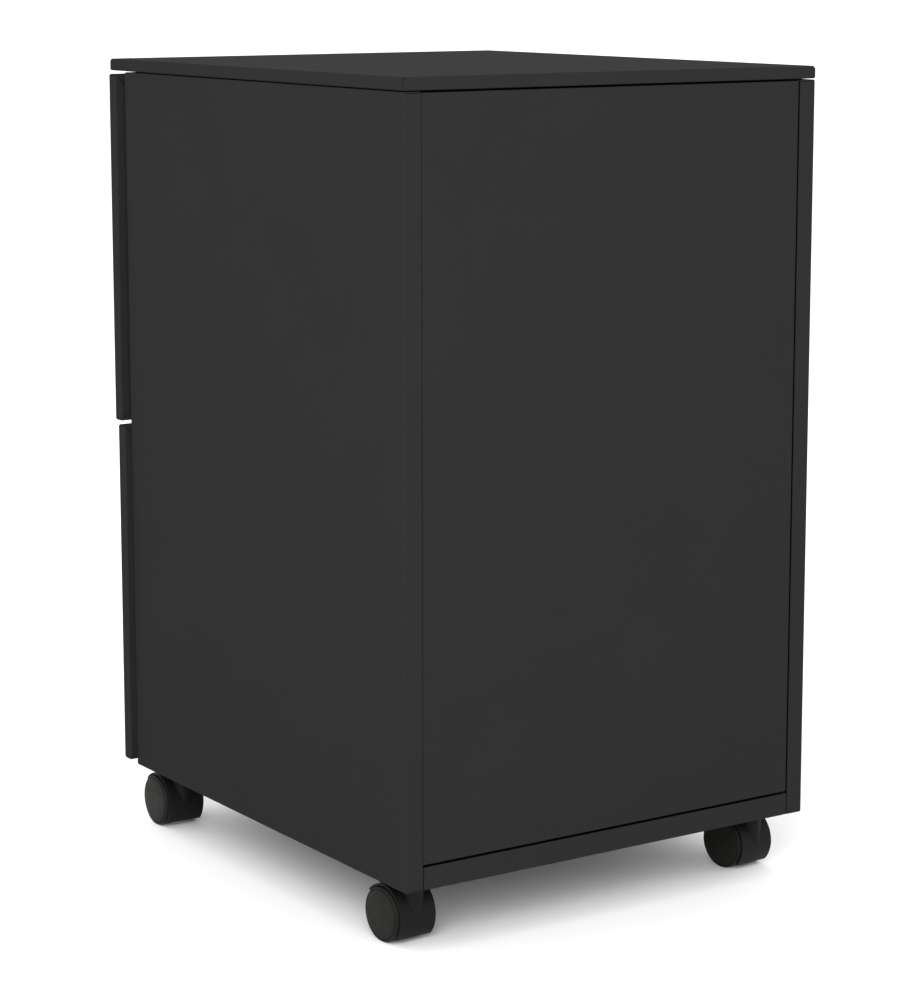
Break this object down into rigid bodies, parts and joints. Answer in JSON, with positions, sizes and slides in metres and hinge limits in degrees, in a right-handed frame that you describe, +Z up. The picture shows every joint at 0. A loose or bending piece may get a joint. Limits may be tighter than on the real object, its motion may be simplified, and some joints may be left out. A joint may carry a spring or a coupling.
{
  "type": "rolling pedestal cabinet",
  "caption": "Under-desk sheet-steel pedestal with full-width file drawers on telescopic runners, standing on twin-wheel swivel castors.",
  "frame": {"origin": "on the floor under the middle of the cabinet", "axes": "+Z up, -Y the way the drawers open, +X the cabinet's right side as seen from the front"},
  "size_m": [0.4008, 0.46, 0.6654],
  "materials": {
    "powder_coat": "fine-textured charcoal powder coat on sheet steel",
    "zinc_steel": "bright zinc plate",
    "castor_nylon": "moulded black nylon",
    "wheel_nylon": "moulded dark grey nylon",
    "grip_plastic": "fine-grained moulding",
    "rail_plastic": "extruded plastic"
  },
  "bodies": {
    "carcass": {"back_panel": "powder_coat", "bottom_pan": "powder_coat", "castor_back_left_plate": "zinc_steel", "castor_back_right_plate": "zinc_steel", "castor_front_left_plate": "zinc_steel", "castor_front_right_plate": "zinc_steel", "front_top_rail": "powder_coat", "left_back_upright": "powder_coat", "left_front_upright": "powder_coat", "left_side_panel": "powder_coat", "lower_left_runner_outer": "zinc_steel", "lower_right_runner_outer": "zinc_steel", "right_back_upright": "powder_coat", "right_front_upright": "powder_coat", "right_side_panel": "powder_coat", "top_cover": "powder_coat", "upper_left_runner_outer": "zinc_steel", "upper_right_runner_outer": "zinc_steel"},
    "lower_drawer": {"lower_drawer_back": "powder_coat", "lower_drawer_front": "powder_coat", "lower_drawer_front_liner": "powder_coat", "lower_drawer_grip": "grip_plastic", "lower_drawer_tray": "powder_coat", "lower_left_file_rail": "rail_plastic", "lower_left_runner_inner": "zinc_steel", "lower_right_file_rail": "rail_plastic", "lower_right_runner_inner": "zinc_steel"},
    "lower_left_runner_middle": {"lower_left_runner_middle": "zinc_steel"},
    "lower_right_runner_middle": {"lower_right_runner_middle": "zinc_steel"},
    "upper_drawer": {"upper_drawer_back": "powder_coat", "upper_drawer_front": "powder_coat", "upper_drawer_front_liner": "powder_coat", "upper_drawer_grip": "grip_plastic", "upper_drawer_tray": "powder_coat", "upper_left_file_rail": "rail_plastic", "upper_left_runner_inner": "zinc_steel", "upper_right_file_rail": "rail_plastic", "upper_right_runner_inner": "zinc_steel"},
    "upper_left_runner_middle": {"upper_left_runner_middle": "zinc_steel"},
    "upper_right_runner_middle": {"upper_right_runner_middle": "zinc_steel"},
    "castor_back_right_hood": {"castor_back_right_axle": "zinc_steel", "castor_back_right_hood": "castor_nylon"},
    "castor_back_right_wheel_a": {"castor_back_right_wheel_a": "wheel_nylon"},
    "castor_back_right_wheel_b": {"castor_back_right_wheel_b": "wheel_nylon"},
    "castor_back_left_hood": {"castor_back_left_axle": "zinc_steel", "castor_back_left_hood": "castor_nylon"},
    "castor_back_left_wheel_a": {"castor_back_left_wheel_a": "wheel_nylon"},
    "castor_back_left_wheel_b": {"castor_back_left_wheel_b": "wheel_nylon"},
    "castor_front_right_hood": {"castor_front_right_axle": "zinc_steel", "castor_front_right_hood": "castor_nylon"},
    "castor_front_right_wheel_a": {"castor_front_right_wheel_a": "wheel_nylon"},
    "castor_front_right_wheel_b": {"castor_front_right_wheel_b": "wheel_nylon"},
    "castor_front_left_hood": {"castor_front_left_axle": "zinc_steel", "castor_front_left_hood": "castor_nylon"},
    "castor_front_left_wheel_a": {"castor_front_left_wheel_a": "wheel_nylon"},
    "castor_front_left_wheel_b": {"castor_front_left_wheel_b": "wheel_nylon"}
  },
  "joints": [
    {"name": "lower_drawer_slide", "type": "slide", "parent": "carcass", "child": "lower_drawer", "axis": [0, -1, 0], "range_m": [0, 0.36]},
    {"name": "lower_left_runner_middle_slide", "type": "slide", "parent": "carcass", "child": "lower_left_runner_middle", "axis": [0, -1, 0], "range_m": [0, 0.18]},
    {"name": "lower_right_runner_middle_slide", "type": "slide", "parent": "carcass", "child": "lower_right_runner_middle", "axis": [0, -1, 0], "range_m": [0, 0.18]},
    {"name": "upper_drawer_slide", "type": "slide", "parent": "carcass", "child": "upper_drawer", "axis": [0, -1, 0], "range_m": [-0.005, 0.355]},
    {"name": "upper_left_runner_middle_slide", "type": "slide", "parent": "carcass", "child": "upper_left_runner_middle", "axis": [0, -1, 0], "range_m": [-0.0025, 0.1775]},
    {"name": "upper_right_runner_middle_slide", "type": "slide", "parent": "carcass", "child": "upper_right_runner_middle", "axis": [0, -1, 0], "range_m": [-0.0025, 0.1775]},
    {"name": "castor_back_right_swivel", "type": "hinge", "parent": "carcass", "child": "castor_back_right_hood", "pos_m": [0.168, 0.1975, 0.05], "axis": [0, 0, 1], "continuous": true},
    {"name": "castor_back_right_wheel_a_spin", "type": "hinge", "parent": "castor_back_right_hood", "child": "castor_back_right_wheel_a", "pos_m": [0.16884, 0.18152, 0.0217], "axis": [0.9986, 0.0523, 0], "continuous": true},
    {"name": "castor_back_right_wheel_b_spin", "type": "hinge", "parent": "castor_back_right_hood", "child": "castor_back_right_wheel_b", "pos_m": [0.16884, 0.18152, 0.0217], "axis": [0.9986, 0.0523, 0], "continuous": true},
    {"name": "castor_back_left_swivel", "type": "hinge", "parent": "carcass", "child": "castor_back_left_hood", "pos_m": [-0.168, 0.1975, 0.05], "axis": [0, 0, 1], "continuous": true},
    {"name": "castor_back_left_wheel_a_spin", "type": "hinge", "parent": "castor_back_left_hood", "child": "castor_back_left_wheel_a", "pos_m": [-0.16661, 0.18156, 0.0217], "axis": [0.9962, 0.0872, 0], "continuous": true},
    {"name": "castor_back_left_wheel_b_spin", "type": "hinge", "parent": "castor_back_left_hood", "child": "castor_back_left_wheel_b", "pos_m": [-0.16661, 0.18156, 0.0217], "axis": [0.9962, 0.0872, 0], "continuous": true},
    {"name": "castor_front_right_swivel", "type": "hinge", "parent": "carcass", "child": "castor_front_right_hood", "pos_m": [0.168, -0.1721, 0.05], "axis": [0, 0, 1], "continuous": true},
    {"name": "castor_front_right_wheel_a_spin", "type": "hinge", "parent": "castor_front_right_hood", "child": "castor_front_right_wheel_a", "pos_m": [0.16772, -0.1881, 0.0217], "axis": [0.9998, -0.0175, 0], "continuous": true},
    {"name": "castor_front_right_wheel_b_spin", "type": "hinge", "parent": "castor_front_right_hood", "child": "castor_front_right_wheel_b", "pos_m": [0.16772, -0.1881, 0.0217], "axis": [0.9998, -0.0175, 0], "continuous": true},
    {"name": "castor_front_left_swivel", "type": "hinge", "parent": "carcass", "child": "castor_front_left_hood", "pos_m": [-0.168, -0.1721, 0.05], "axis": [0, 0, 1], "continuous": true},
    {"name": "castor_front_left_wheel_a_spin", "type": "hinge", "parent": "castor_front_left_hood", "child": "castor_front_left_wheel_a", "pos_m": [-0.17023, -0.18794, 0.0217], "axis": [0.9903, -0.1392, 0], "continuous": true},
    {"name": "castor_front_left_wheel_b_spin", "type": "hinge", "parent": "castor_front_left_hood", "child": "castor_front_left_wheel_b", "pos_m": [-0.17023, -0.18794, 0.0217], "axis": [0.9903, -0.1392, 0], "continuous": true}
  ],
  "couplings": [
    {"joint": "lower_left_runner_middle_slide", "follows": "lower_drawer_slide", "ratio": 0.5},
    {"joint": "lower_right_runner_middle_slide", "follows": "lower_drawer_slide", "ratio": 0.5},
    {"joint": "upper_left_runner_middle_slide", "follows": "upper_drawer_slide", "ratio": 0.5},
    {"joint": "upper_right_runner_middle_slide", "follows": "upper_drawer_slide", "ratio": 0.5}
  ]
}
